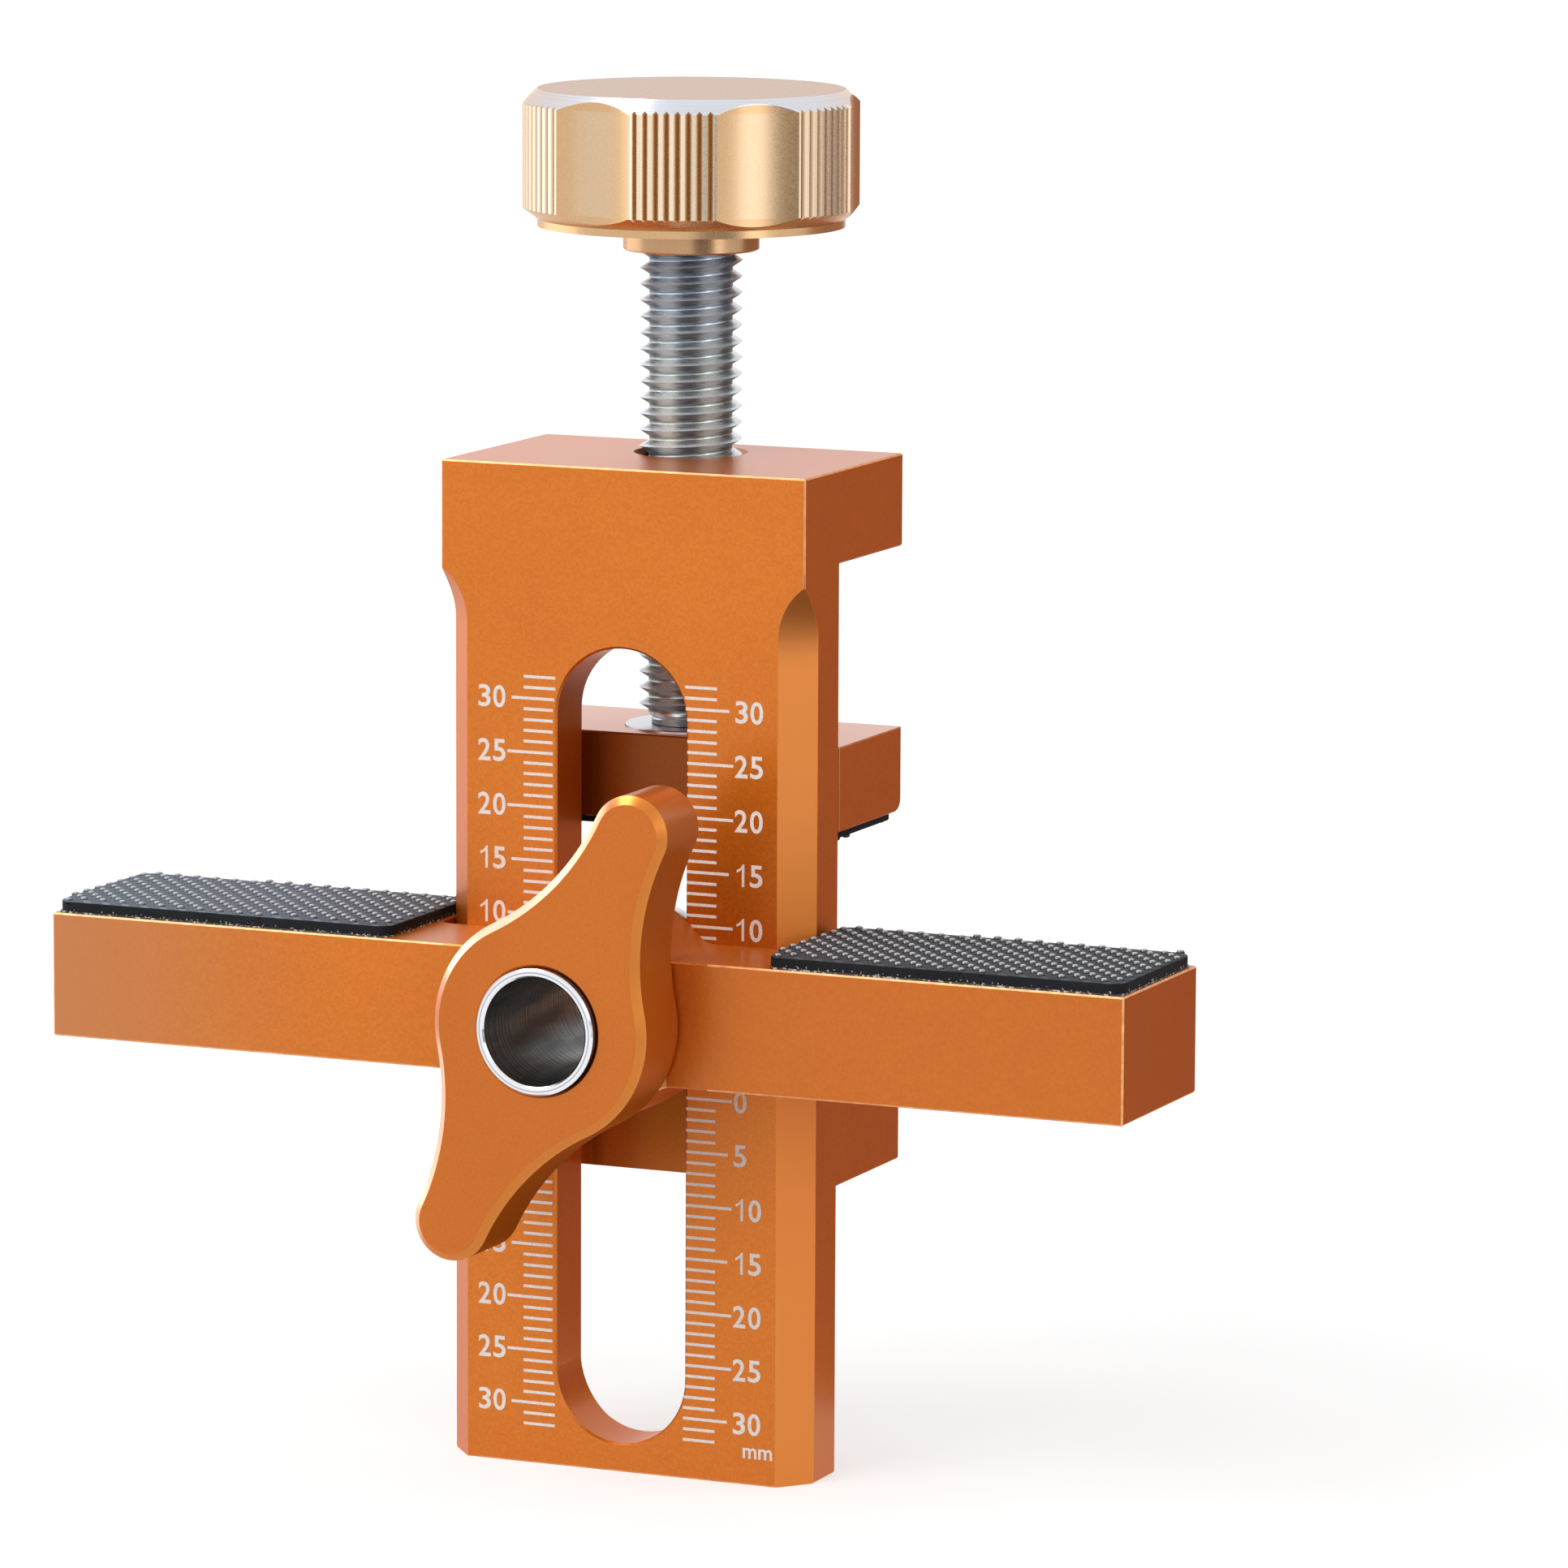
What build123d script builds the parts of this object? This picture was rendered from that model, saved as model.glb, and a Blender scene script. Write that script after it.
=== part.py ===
from build123d import *
import os
from math import sqrt

# Cabinet door mounting jig, in millimetres.
# X runs along the door ledge, Y from the door towards the cabinet, and Z is up.
# The origin is the middle of the fixed jaw's pad, where the cabinet rail is seated.

# Clamp body: one milled block, a plate with an overhang above and a fixed jaw behind
body_width = 36.4
plate_thickness = 8.0
jaw_reach = 14.8
throat_height = 49.0
overhang_thickness = 8.6
fixed_jaw_thickness = 8.75
foot_length = 26.95
edge_break = 0.15

# Bevels down the plate's front edges, cut with a cone-nosed cutter that stops below the overhang
bevel_width = 2.65
bevel_depth = 3.15
bevel_cutter_radius = 6.1
bevel_stop_below_top = 14.9

# Drill guide bush, a steel tube with a flange that runs in the groove behind the slot
guide_bore = 10.0
bush_wall = 0.8
bush_proud = 0.65
bush_rim_break = 0.15
flange_thickness = 1.7
flange_corner = 0.4
flange_play = 0.1

# Slot in the plate and the wider groove behind it
slot_play = 0.7
slot_length = 74.1
slot_above_foot = 2.7
slot_edge_break = 0.2
groove_ledge = 1.2
groove_depth = 2.5

# Rubber pads on the jaws and on the arms of the crossbar, each on an adhesive film
film_thickness = 0.15
jaw_pad_thickness = 0.85
jaw_pad_inset = 0.4
arm_pad_thickness = 1.3
arm_pad_inset = 0.2
arm_pad_gap = 0.5
pad_corner_radius = 1.0
film_inset = 0.1

# Moving jaw, and how far it stands open at rest
moving_jaw_thickness = 7.9
jaw_opening = 22.2
jaw_nose_radius = 1.2

# Clamp screw with a plain journal that turns in the moving jaw
screw_diameter = 9.5
screw_exposed = 18.75
screw_end_chamfer = 1.2
neck_diameter = 7.1
neck_length = 0.6
journal_diameter = 6.0
hole_mouth = 0.5

# Steel thrust washer let into the top of the moving jaw
washer_diameter = 12.0
washer_thickness = 1.0
washer_proud = 0.2

# Retaining clip in a groove of the journal, in a recess under the moving jaw
clip_recess_diameter = 11.0
clip_recess_depth = 2.2
clip_diameter = 9.0
clip_groove_depth = 0.5
clip_thickness = 0.7
clip_mouth = 4.2
journal_end_gap = 0.3

# Knob, turned and then scalloped and serrated
knob_radius = 15.7
collar_radius = 6.3
collar_height = 2.2
knob_rim_height = 0.7
knob_foot_cone = 1.1
knob_land_height = 9.55
knob_top_chamfer = 1.3
knob_cone_width = 1.5
scallop_count = 6
scallop_depth = 1.0
scallop_radius = 18.0
serration_pitch = 3.7
serrations_per_land = 8
serration_width = 0.65
serration_depth = 0.35
knob_turn = -12.6
socket_depth = 9.0

# Crossbar: one bar with a round hub, notched at the back to straddle the plate
bar_length = 106.8
bar_height = 11.6
bar_reach = 10.2
bar_rest_height = 7.7
arm_setback = 0.1
hub_swell = 4.4
hub_fillet = 2.5
hub_bore_play = 0.2
notch_play = 0.2
notch_corner_radius = 1.2

# Lock handle: a two-lobed nut on the bush
handle_thickness = 7.95
handle_wall = 4.65
handle_reach = 23.95
lobe_radius = 3.65
waist_radius = 23.0
handle_turn = 64.15
handle_front_chamfer = 0.75
handle_back_chamfer = 0.4
handle_mouth = 0.25

# Clearances between pieces that move on each other
running_play = 0.05
jaw_play = 0.1

# Heights, from the seat up and down
jaw_pad_stack = film_thickness + jaw_pad_thickness
fixed_jaw_top = -jaw_pad_stack
fixed_jaw_bottom = fixed_jaw_top - fixed_jaw_thickness
foot = fixed_jaw_bottom - foot_length
overhang_bottom = fixed_jaw_top + throat_height
body_top = overhang_bottom + overhang_thickness
moving_jaw_bottom = jaw_opening + jaw_pad_stack
moving_jaw_top = moving_jaw_bottom + moving_jaw_thickness
washer_top = moving_jaw_top + washer_proud
knob_bottom = body_top + screw_exposed
bar_bottom = bar_rest_height - bar_height / 2
bar_top = bar_rest_height + bar_height / 2

# Depths, from the door side to the cabinet side
jaw_rear = jaw_reach / 2
plate_rear = -jaw_reach / 2
plate_front = plate_rear - plate_thickness
moving_jaw_front = plate_rear + jaw_play
groove_floor = plate_rear - groove_depth
bar_front = plate_front - bar_reach
arm_rear = plate_rear - arm_setback
handle_rear = bar_front - running_play
handle_front = handle_rear - handle_thickness
bush_front = handle_front - bush_proud
flange_front = groove_floor + running_play

# Widths that follow from the guide bore
bush_diameter = guide_bore + 2 * bush_wall
slot_width = bush_diameter + 2 * slot_play
groove_width = slot_width + 2 * groove_ledge
slot_middle = foot + slot_above_foot + slot_length / 2
screw_bore = screw_diameter + 2 * running_play
journal_bore = journal_diameter + 2 * running_play


def span(x, y, z):
    """A box between a low and a high limit on each axis."""
    low = Vector(x[0], y[0], z[0])
    size = Vector(x[1], y[1], z[1]) - low
    corner = (Align.MIN, Align.MIN, Align.MIN)
    return Pos(low.X, low.Y, low.Z) * Box(size.X, size.Y, size.Z, align=corner)


def upright(radius, low, high):
    """A round bar on the screw's axis."""
    on_floor = (Align.CENTER, Align.CENTER, Align.MIN)
    return Pos(0, 0, low) * Cylinder(radius, high - low, align=on_floor)


def facing(depth, height=0):
    """A plane that faces the door side, with X to the right and Z up."""
    return Plane(origin=(0, depth, height), x_dir=(1, 0, 0), z_dir=(0, -1, 0))


def rearward(sketch, front, rear, height=0):
    """A sketch seen from the door side, carried back from one depth to another."""
    return extrude(facing(rear, height) * sketch, rear - front)


def slab(x, y, low, thickness, corner_radius):
    """A thin plate with rounded corners, lying flat."""
    middle = Pos((x[0] + x[1]) / 2, (y[0] + y[1]) / 2, low)
    return middle * extrude(RectangleRounded(x[1] - x[0], y[1] - y[0], corner_radius), thickness)


def bevel_cutter():
    """The way of the cone-nosed cutter along the plate's right edge, up to where it stops."""
    slope = bevel_width / bevel_depth
    lead_in = 1.0
    wide = bevel_cutter_radius + lead_in * slope
    narrow = bevel_cutter_radius - bevel_width
    axis = body_width / 2 + narrow
    start = plate_front - lead_in
    end = plate_front + bevel_depth
    stop = body_top - bevel_stop_below_top
    nose = Pos(axis, (start + end) / 2, stop) * Rot(-90, 0, 0) * Cone(wide, narrow, end - start)
    section = Polyline(
        (axis - wide, start), (axis + wide, start), (axis + narrow, end), (axis - narrow, end), close=True
    )
    below = foot - lead_in
    return nose + Pos(0, 0, below) * extrude(make_face(section), stop - below)


def clamp_body():
    """The milled block: plate, overhang and fixed jaw, with slot, groove, screw hole and bevels."""
    profile = Polyline(
        (plate_front, foot), (plate_front, body_top), (jaw_rear, body_top), (jaw_rear, overhang_bottom),
        (plate_rear, overhang_bottom), (plate_rear, fixed_jaw_top), (jaw_rear, fixed_jaw_top),
        (jaw_rear, fixed_jaw_bottom), (plate_rear, fixed_jaw_bottom), (plate_rear, foot), close=True
    )
    block = extrude(Plane.YZ * make_face(profile), body_width / 2, both=True)
    inner_corners = [
        edge for edge in block.edges().filter_by(Axis.X)
        if abs(edge.center().Y - plate_rear) < edge_break and edge.center().Z > foot + edge_break
    ]
    block = chamfer([edge for edge in block.edges() if edge not in inner_corners], edge_break)

    slot = rearward(SlotOverall(slot_length, slot_width, rotation=90), plate_front, plate_rear, slot_middle)
    groove_length = slot_length + 2 * groove_ledge
    groove = rearward(SlotOverall(groove_length, groove_width, rotation=90), groove_floor, plate_rear, slot_middle)
    block -= slot + groove
    rim = block.edges().filter_by_position(Axis.Y, plate_front, plate_front)
    rim = rim.filter_by_position(Axis.X, -slot_width / 2, slot_width / 2)
    rim = rim.filter_by_position(Axis.Z, foot + slot_above_foot, body_top - edge_break, (False, False))
    block = chamfer(rim, slot_edge_break)

    mouth = Cone(screw_bore / 2, screw_bore / 2 + hole_mouth, hole_mouth)
    block -= upright(screw_bore / 2, overhang_bottom, body_top)
    block -= Pos(0, 0, body_top - hole_mouth / 2) * mouth
    block -= Pos(0, 0, overhang_bottom + hole_mouth / 2) * Rot(180, 0, 0) * mouth

    cutter = bevel_cutter()
    return block - cutter - mirror(cutter, Plane.YZ)


def jaw_pad(bottom, thickness, inset):
    """A flat pad or film that covers a jaw, set in from its edges."""
    x = (-body_width / 2 + inset, body_width / 2 - inset)
    y = (moving_jaw_front + inset, jaw_rear - inset)
    return slab(x, y, bottom, thickness, pad_corner_radius)


def moving_jaw():
    """The block that the screw drives, with a recess for the washer above and for the clip below."""
    jaw = span(
        (-body_width / 2, body_width / 2), (moving_jaw_front, jaw_rear), (moving_jaw_bottom, moving_jaw_top)
    )
    nose = jaw.edges().filter_by(Axis.X).sort_by(Axis.Z)[:2].sort_by(Axis.Y)[-1]
    jaw = fillet(nose, jaw_nose_radius)
    straight = jaw.edges().filter_by(Axis.X) + jaw.edges().filter_by(Axis.Z)
    sharp = [edge for edge in straight if edge.center().Z > moving_jaw_bottom + jaw_nose_radius]
    jaw = chamfer(sharp, edge_break)
    jaw -= upright(journal_bore / 2, moving_jaw_bottom, moving_jaw_top)
    recess_floor = washer_top - washer_thickness
    jaw -= upright(washer_diameter / 2 + running_play, recess_floor, moving_jaw_top)
    return jaw - upright(clip_recess_diameter / 2, moving_jaw_bottom, moving_jaw_bottom + clip_recess_depth)


def thrust_washer():
    """The disc that the screw's shoulder presses on."""
    disc = upright(washer_diameter / 2, washer_top - washer_thickness, washer_top)
    disc = chamfer(disc.edges().group_by(Axis.Z)[-1], washer_proud / 2)
    return disc - upright(journal_bore / 2, washer_top - washer_thickness, washer_top)


def clip_top():
    """Height of the retaining clip's upper face, just under the floor of its recess."""
    return moving_jaw_bottom + clip_recess_depth - running_play


def retaining_clip():
    """An open ring in the journal's groove that keeps the jaw on the screw."""
    low = clip_top() - clip_thickness
    ring = upright(clip_diameter / 2, low, clip_top())
    ring -= upright(journal_diameter / 2 - clip_groove_depth, low, clip_top())
    mouth = (-clip_mouth / 2, clip_mouth / 2)
    return ring - span(mouth, (0, clip_diameter), (low, clip_top()))


def clamp_screw():
    """The screw, from the journal in the moving jaw to its end in the knob."""
    journal_bottom = moving_jaw_bottom + journal_end_gap
    neck_bottom = washer_top + running_play
    thread_bottom = neck_bottom + neck_length
    thread = upright(screw_diameter / 2, thread_bottom, knob_bottom + socket_depth)
    ends = thread.edges().filter_by(GeomType.CIRCLE)
    thread = chamfer(ends.group_by(Axis.Z)[0], screw_end_chamfer)
    neck = upright(neck_diameter / 2, neck_bottom, thread_bottom)
    journal = upright(journal_diameter / 2, journal_bottom, neck_bottom)
    journal = chamfer(journal.edges().group_by(Axis.Z)[0], edge_break)
    groove = upright(journal_diameter / 2, clip_top() - clip_thickness, clip_top())
    groove -= upright(journal_diameter / 2 - clip_groove_depth, clip_top() - clip_thickness, clip_top())
    return thread + neck + (journal - groove)


def knob_section():
    """The knob's outline from above: six lands cut with V grooves between six scallops."""
    section = Circle(knob_radius)
    scallop = Pos(knob_radius - scallop_depth + scallop_radius, 0) * Circle(scallop_radius)
    half_width = serration_width / 2
    crest = sqrt(knob_radius ** 2 - half_width ** 2)
    root = knob_radius - serration_depth
    vee = make_face(Polyline((root, 0), (crest, half_width), (crest + half_width, half_width),
                             (crest + half_width, -half_width), (crest, -half_width), close=True))
    step = 360 / scallop_count
    for land in range(scallop_count):
        middle = land * step + knob_turn
        section -= Rot(0, 0, middle + step / 2) * scallop
        for groove in range(serrations_per_land):
            offset = (groove - (serrations_per_land - 1) / 2) * serration_pitch
            section -= Rot(0, 0, middle + offset) * vee
    return section


def clamp_knob():
    """The knob: its serrated grip between two turned cones, on a stepped foot and a collar."""
    rim_radius = knob_radius - knob_cone_width
    rim_bottom = knob_bottom + collar_height
    cone_bottom = rim_bottom + knob_rim_height
    land_bottom = cone_bottom + knob_foot_cone
    land_top = land_bottom + knob_land_height
    top = land_top + knob_top_chamfer
    turned = Polyline(
        (0, cone_bottom), (rim_radius, cone_bottom), (knob_radius, land_bottom), (knob_radius, land_top),
        (rim_radius, top), (0, top), close=True
    )
    envelope = revolve(Plane.XZ * make_face(turned), Axis.Z)
    grip = Pos(0, 0, cone_bottom) * extrude(knob_section(), top - cone_bottom) & envelope
    foot_ring = upright(rim_radius, rim_bottom, cone_bottom)
    collar = upright(collar_radius, knob_bottom, rim_bottom)
    collar = chamfer(collar.edges().group_by(Axis.Z)[0], edge_break)
    socket = upright(screw_diameter / 2, knob_bottom, knob_bottom + socket_depth)
    return grip + foot_ring + collar - socket


def crossbar():
    """The bar with its hub, bored for the bush and notched at the back for the plate."""
    outline = Rectangle(bar_length, bar_height) + Circle(bar_height / 2 + hub_swell)
    inner_corners = [
        corner for corner in outline.vertices()
        if abs(corner.X) < bar_length / 2 - edge_break
    ]
    outline = fillet(inner_corners, hub_fillet)
    bar = rearward(outline, bar_front, arm_rear, bar_rest_height)
    bar = chamfer(bar.edges(), edge_break)
    notch_half = body_width / 2 + notch_play
    tall = bar_height / 2 + hub_swell + edge_break
    notch = span(
        (-notch_half, notch_half), (plate_front - running_play, arm_rear),
        (bar_rest_height - tall, bar_rest_height + tall)
    )
    deep_corners = notch.edges().filter_by(Axis.Z).group_by(Axis.Y)[0]
    bar -= fillet(deep_corners, notch_corner_radius)
    bore = Circle(bush_diameter / 2 + hub_bore_play)
    return bar - rearward(bore, bar_front, plate_front, bar_rest_height)


def arm_layer(side, bottom, thickness, inset):
    """A flat layer on one arm, from beside the plate to the bar's end."""
    near = body_width / 2 + arm_pad_gap + inset
    far = bar_length / 2 - arm_pad_inset - inset
    x = (near, far) if side > 0 else (-far, -near)
    y = (bar_front + arm_pad_inset + inset, arm_rear - arm_pad_inset - inset)
    return slab(x, y, bottom, thickness, pad_corner_radius)


def handle_outline():
    """Two lobes and a round middle, joined by four hollow arcs that are tangent to both."""
    middle_radius = bush_diameter / 2 + running_play + handle_wall
    lobe_distance = handle_reach - lobe_radius
    to_middle = middle_radius + waist_radius
    to_lobe = lobe_radius + waist_radius
    along = (lobe_distance ** 2 + to_middle ** 2 - to_lobe ** 2) / (2 * lobe_distance)
    waist = Vector(along, sqrt(to_middle ** 2 - along ** 2))
    lobe = Vector(lobe_distance, 0)
    on_middle = waist.normalized() * middle_radius
    on_lobe = lobe + (waist - lobe).normalized() * lobe_radius
    hollow = waist - (waist - lobe / 2).normalized() * waist_radius

    def mirrored(point, x_sign, y_sign):
        return (x_sign * point.X, y_sign * point.Y)

    arcs = []
    for x_sign in (1, -1):
        ends = [mirrored(on_lobe, x_sign, y_sign) for y_sign in (1, -1)]
        arcs.append(ThreePointArc(ends[0], (x_sign * handle_reach, 0), ends[1]))
        for y_sign in (1, -1):
            arcs.append(ThreePointArc(
                mirrored(on_lobe, x_sign, y_sign),
                mirrored(hollow, x_sign, y_sign),
                mirrored(on_middle, x_sign, y_sign),
            ))
    for y_sign in (1, -1):
        ends = [mirrored(on_middle, x_sign, y_sign) for x_sign in (1, -1)]
        arcs.append(ThreePointArc(ends[0], (0, y_sign * middle_radius), ends[1]))
    return Rot(0, 0, handle_turn) * make_face(Wire(arcs))


def lock_handle():
    """The two-lobed nut that draws the bush forwards and locks the crossbar."""
    handle = rearward(handle_outline(), handle_front, handle_rear, bar_rest_height)
    edges = handle.edges().group_by(Axis.Y)
    handle = chamfer(edges[0], handle_front_chamfer)
    handle = chamfer(handle.edges().group_by(Axis.Y)[-1], handle_back_chamfer)
    bore_radius = bush_diameter / 2 + running_play
    handle -= rearward(Circle(bore_radius), handle_front, handle_rear, bar_rest_height)
    mouth = Cone(bore_radius + handle_mouth, bore_radius, handle_mouth)
    return handle - Pos(0, handle_front + handle_mouth / 2, bar_rest_height) * Rot(-90, 0, 0) * mouth


def guide_bush():
    """The drill guide: a tube through handle, bar and slot, with a flatted flange behind."""
    flats = groove_width - 2 * flange_play
    flange = Circle(flats / 2 + flange_corner) & Rectangle(flats, groove_width + flange_corner)
    bush = rearward(Circle(bush_diameter / 2), bush_front, flange_front, bar_rest_height)
    bush = chamfer(bush.edges().group_by(Axis.Y)[0], bush_rim_break)
    flange_rear = flange_front + flange_thickness
    bush += rearward(flange, flange_front, flange_rear, bar_rest_height)
    bush -= rearward(Circle(guide_bore / 2), bush_front, flange_rear, bar_rest_height)
    inner_rim = bush.edges().filter_by(GeomType.CIRCLE).group_by(Axis.Y)[0].sort_by(SortBy.RADIUS)[0]
    return chamfer(inner_rim, bush_rim_break)


film_on_jaw = film_inset + jaw_pad_inset
parts = {
    "body": clamp_body(),
    "fixed_jaw_film": jaw_pad(fixed_jaw_top, film_thickness, film_on_jaw),
    "fixed_jaw_pad": jaw_pad(fixed_jaw_top + film_thickness, jaw_pad_thickness, jaw_pad_inset),
    "moving_jaw": moving_jaw(),
    "moving_jaw_film": jaw_pad(moving_jaw_bottom - film_thickness, film_thickness, film_on_jaw),
    "moving_jaw_pad": jaw_pad(jaw_opening, jaw_pad_thickness, jaw_pad_inset),
    "thrust_washer": thrust_washer(),
    "retaining_clip": retaining_clip(),
    "clamp_screw": clamp_screw(),
    "clamp_knob": clamp_knob(),
    "crossbar": crossbar(),
    "arm_film_left": arm_layer(-1, bar_top, film_thickness, film_inset),
    "arm_film_right": arm_layer(1, bar_top, film_thickness, film_inset),
    "arm_pad_left": arm_layer(-1, bar_top + film_thickness, arm_pad_thickness, 0),
    "arm_pad_right": arm_layer(1, bar_top + film_thickness, arm_pad_thickness, 0),
    "lock_handle": lock_handle(),
    "guide_bush": guide_bush(),
}

os.makedirs("parts", exist_ok=True)
for name, part in parts.items():
    export_step(part, f"parts/{name}.step")
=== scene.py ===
from math import ceil, cos, floor, pi, radians, sin, tau

import bmesh
import bpy
from mathutils import Matrix, Vector


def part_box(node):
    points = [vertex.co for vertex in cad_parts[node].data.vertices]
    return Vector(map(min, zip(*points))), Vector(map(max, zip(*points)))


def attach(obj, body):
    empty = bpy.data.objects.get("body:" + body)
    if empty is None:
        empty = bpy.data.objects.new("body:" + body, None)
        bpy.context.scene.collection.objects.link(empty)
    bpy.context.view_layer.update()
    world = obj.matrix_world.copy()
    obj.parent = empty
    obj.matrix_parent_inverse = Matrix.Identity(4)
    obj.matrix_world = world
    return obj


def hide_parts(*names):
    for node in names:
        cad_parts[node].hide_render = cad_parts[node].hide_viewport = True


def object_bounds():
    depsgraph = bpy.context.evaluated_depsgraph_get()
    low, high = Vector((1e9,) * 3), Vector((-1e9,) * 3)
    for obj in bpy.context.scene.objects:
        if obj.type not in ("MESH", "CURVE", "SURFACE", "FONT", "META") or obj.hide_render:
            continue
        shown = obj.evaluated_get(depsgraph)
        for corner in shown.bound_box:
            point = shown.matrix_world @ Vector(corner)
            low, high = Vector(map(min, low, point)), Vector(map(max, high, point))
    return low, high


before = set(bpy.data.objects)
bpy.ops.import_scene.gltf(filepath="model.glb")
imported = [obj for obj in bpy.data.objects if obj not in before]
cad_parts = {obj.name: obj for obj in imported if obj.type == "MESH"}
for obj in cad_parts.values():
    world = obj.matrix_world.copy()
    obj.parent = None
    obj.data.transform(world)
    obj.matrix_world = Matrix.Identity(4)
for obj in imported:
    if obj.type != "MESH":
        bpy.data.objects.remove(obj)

# A cabinet door mounting jig, dressed for a photograph. All lengths are in metres.
MM = 0.001
cad_low, cad_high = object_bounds()

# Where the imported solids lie
body_low, body_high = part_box("body")
jaw_low, jaw_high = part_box("moving_jaw")
screw_low, screw_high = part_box("clamp_screw")
washer_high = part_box("thrust_washer")[1]
clip_low, clip_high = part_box("retaining_clip")
knob_low, knob_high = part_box("clamp_knob")
bar_low, bar_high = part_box("crossbar")
film_low, film_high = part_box("arm_film_right")
handle_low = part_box("lock_handle")[0]
bush_low, bush_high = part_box("guide_bush")
bar_middle = (bar_low.z + bar_high.z) / 2
bar_top = film_low.z
bush_middle = (bush_low.z + bush_high.z) / 2
hub_radius = (bar_high.z - bar_low.z) / 2

# Orange metal: how near a face or an edge counts, its grain in lumps a metre, and the milled places
on_face = 0.02 * MM
edge_reach = 0.16 * MM
out_of_reach = 5.0 * MM
more_than_one = 1.5
above_all = 1.0
grain_lumps = 4200.0
cloud_lumps = 70.0
# Lumps of the edge wear and the painted edge highlight
wear_and_highlight_lumps = 900.0
grain_depth = 0.02 * MM
plate_rear = -7.4 * MM
fixed_jaw_foot = -9.8 * MM
bevel_width = 2.65 * MM
bevel_depth = 3.15 * MM
bevel_top = 47.9 * MM
bevel_margin = 0.03 * MM
# Painted shade at the top of the right bevel, where it runs out
run_out_low = bevel_top - 9.0 * MM
run_out_high = bevel_top - 3.0 * MM
hole_mouth_radius = screw_high.x + 0.6 * MM
hole_mouth_depth = 2.0 * MM
hub_blend = 3.0 * MM
hub_rim_margin = 1.0 * MM

# Lock handle and guide bush
handle_chamfer = 0.75 * MM
handle_wall = handle_low.y + handle_chamfer + 0.01 * MM
handle_mouth = 6.24 * MM
bush_bore = 5.1 * MM
bush_groove = 5.42 * MM
bush_rim_face = bush_low.y + 0.01 * MM
bush_rim_foot = bush_low.y + 0.15 * MM

# Knob: the turned chamfer, and the scallops between the ribbed lands
knob_chamfer_height = 1.3 * MM
knob_chamfer_run = 1.5 * MM
knob_chamfer_foot = knob_high.z - knob_chamfer_height
knob_chamfer_slope = knob_chamfer_run / knob_chamfer_height
knob_grip_foot = knob_low.z + 4.0 * MM
knob_collar = 9.0 * MM
knob_scallops = 6
knob_scallop_turn = radians(-42.6)

# Clamp screw: a coarse right-hand thread on a plain journal
thread_pitch = 1.5 * MM
thread_root = 3.85 * MM
thread_root_flat = 0.22
thread_start_height = 0.82 * MM
screw_neck = 3.55 * MM
screw_neck_foot = washer_high.z + 0.05 * MM
screw_neck_length = 0.6 * MM
screw_neck_overlap = 0.01 * MM
screw_journal = 3.0 * MM
screw_journal_groove = 2.5 * MM
screw_journal_break = 0.3 * MM
screw_lead_chamfer = 1.2 * MM
# Painted bands of reflection round the screw: where they turn and how many go round
reflection_band_turn = radians(99.0)
reflection_band_count = 6
rows_per_pitch = 8
thread_columns = 64
thread_merge_reach = 0.002 * MM

# Scale printed on the plate, with its zero marks above and below the fixed jaw's top
print_shift = -0.13 * MM
print_thickness = 0.015 * MM
upper_zero = 5.0 * MM
lower_zero = -1.0 * MM
scale_spacing = 1.0 * MM
scale_count = 33
mark_width = 0.27 * MM
mark_reach = 9.69 * MM
mark_overlap = 0.01 * MM
mark_gap_to_slot = 0.05 * MM
slot_half = 6.5 * MM
slot_edge = 0.2 * MM
slot_arc_high = 33.6 * MM
slot_arc_low = -27.5 * MM
long_reach = 11.33 * MM
short_reach = 10.92 * MM
dash_reach = {
    0: long_reach, 5: short_reach, 10: long_reach, 15: short_reach,
    20: long_reach, 25: long_reach, 30: short_reach,
}

# Lettering: shares are of a digit's height, and a digit's span is the gap to its left and its width
number_inner = 11.41 * MM
number_height = 2.07 * MM
digit_step = 0.72
stroke_growth = 0.017
digit_spans = {
    "0": (0.055, 0.61), "1": (0.145, 0.36), "2": (0.04, 0.61), "3": (0.055, 0.6), "5": (0.055, 0.61),
}
digit_one = (
    (0.246, 0.0), (0.368, 0.0), (0.368, 1.0), (0.29, 1.0), (0.22, 0.885), (0.12, 0.8), (0.0, 0.736),
    (0.0, 0.617), (0.09, 0.665), (0.17, 0.715), (0.246, 0.782),
)
unit_height = 1.0 * MM
unit_place = (13.87 * MM, -33.7 * MM)

# Rubber pads: a square grid of small knobs, laid askew
knob_pitch = 1.47 * MM
knob_grid_turn = radians(42.0)
arm_knob_height = 0.3 * MM
jaw_knob_height = 0.24 * MM
knob_radius_share = 0.28
knob_rim_share = 0.75
knob_sides = 10
knob_rings = 6
pad_corner = 1.4 * MM
pad_corner_steps = 8
pad_soft_edge = 0.15 * MM
pad_soft_steps = 3
pad_draw_in = 0.12 * MM
# How far left the painted sheen on the pads grows
pad_sheen_end = 50.0 * MM
pad_glue_height = film_high.z + 0.12 * MM
pad_glue_reach = 0.14 * MM


def paint(code):
    """The linear colour of a six-figure web colour."""
    parts = [int(code[place:place + 2], 16) / 255 for place in (1, 3, 5)]
    linear = [part / 12.92 if part <= 0.04045 else ((part + 0.055) / 1.055) ** 2.4 for part in parts]
    return (*linear, 1.0)


# Colours of the orange metal
orange_dye = paint("#c4670f")
orange_dye_light = paint("#d27517")
orange_deep = paint("#b25709")
# Painted sheen for the crossbar's left end
orange_sheen_grey = paint("#bd7a4c")
orange_milled = paint("#fb963e")
orange_shade = paint("#5f2606")
# Paler edges: real wear, and a painted highlight along them
orange_wear_and_highlight = paint("#f6bd80")
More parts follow.
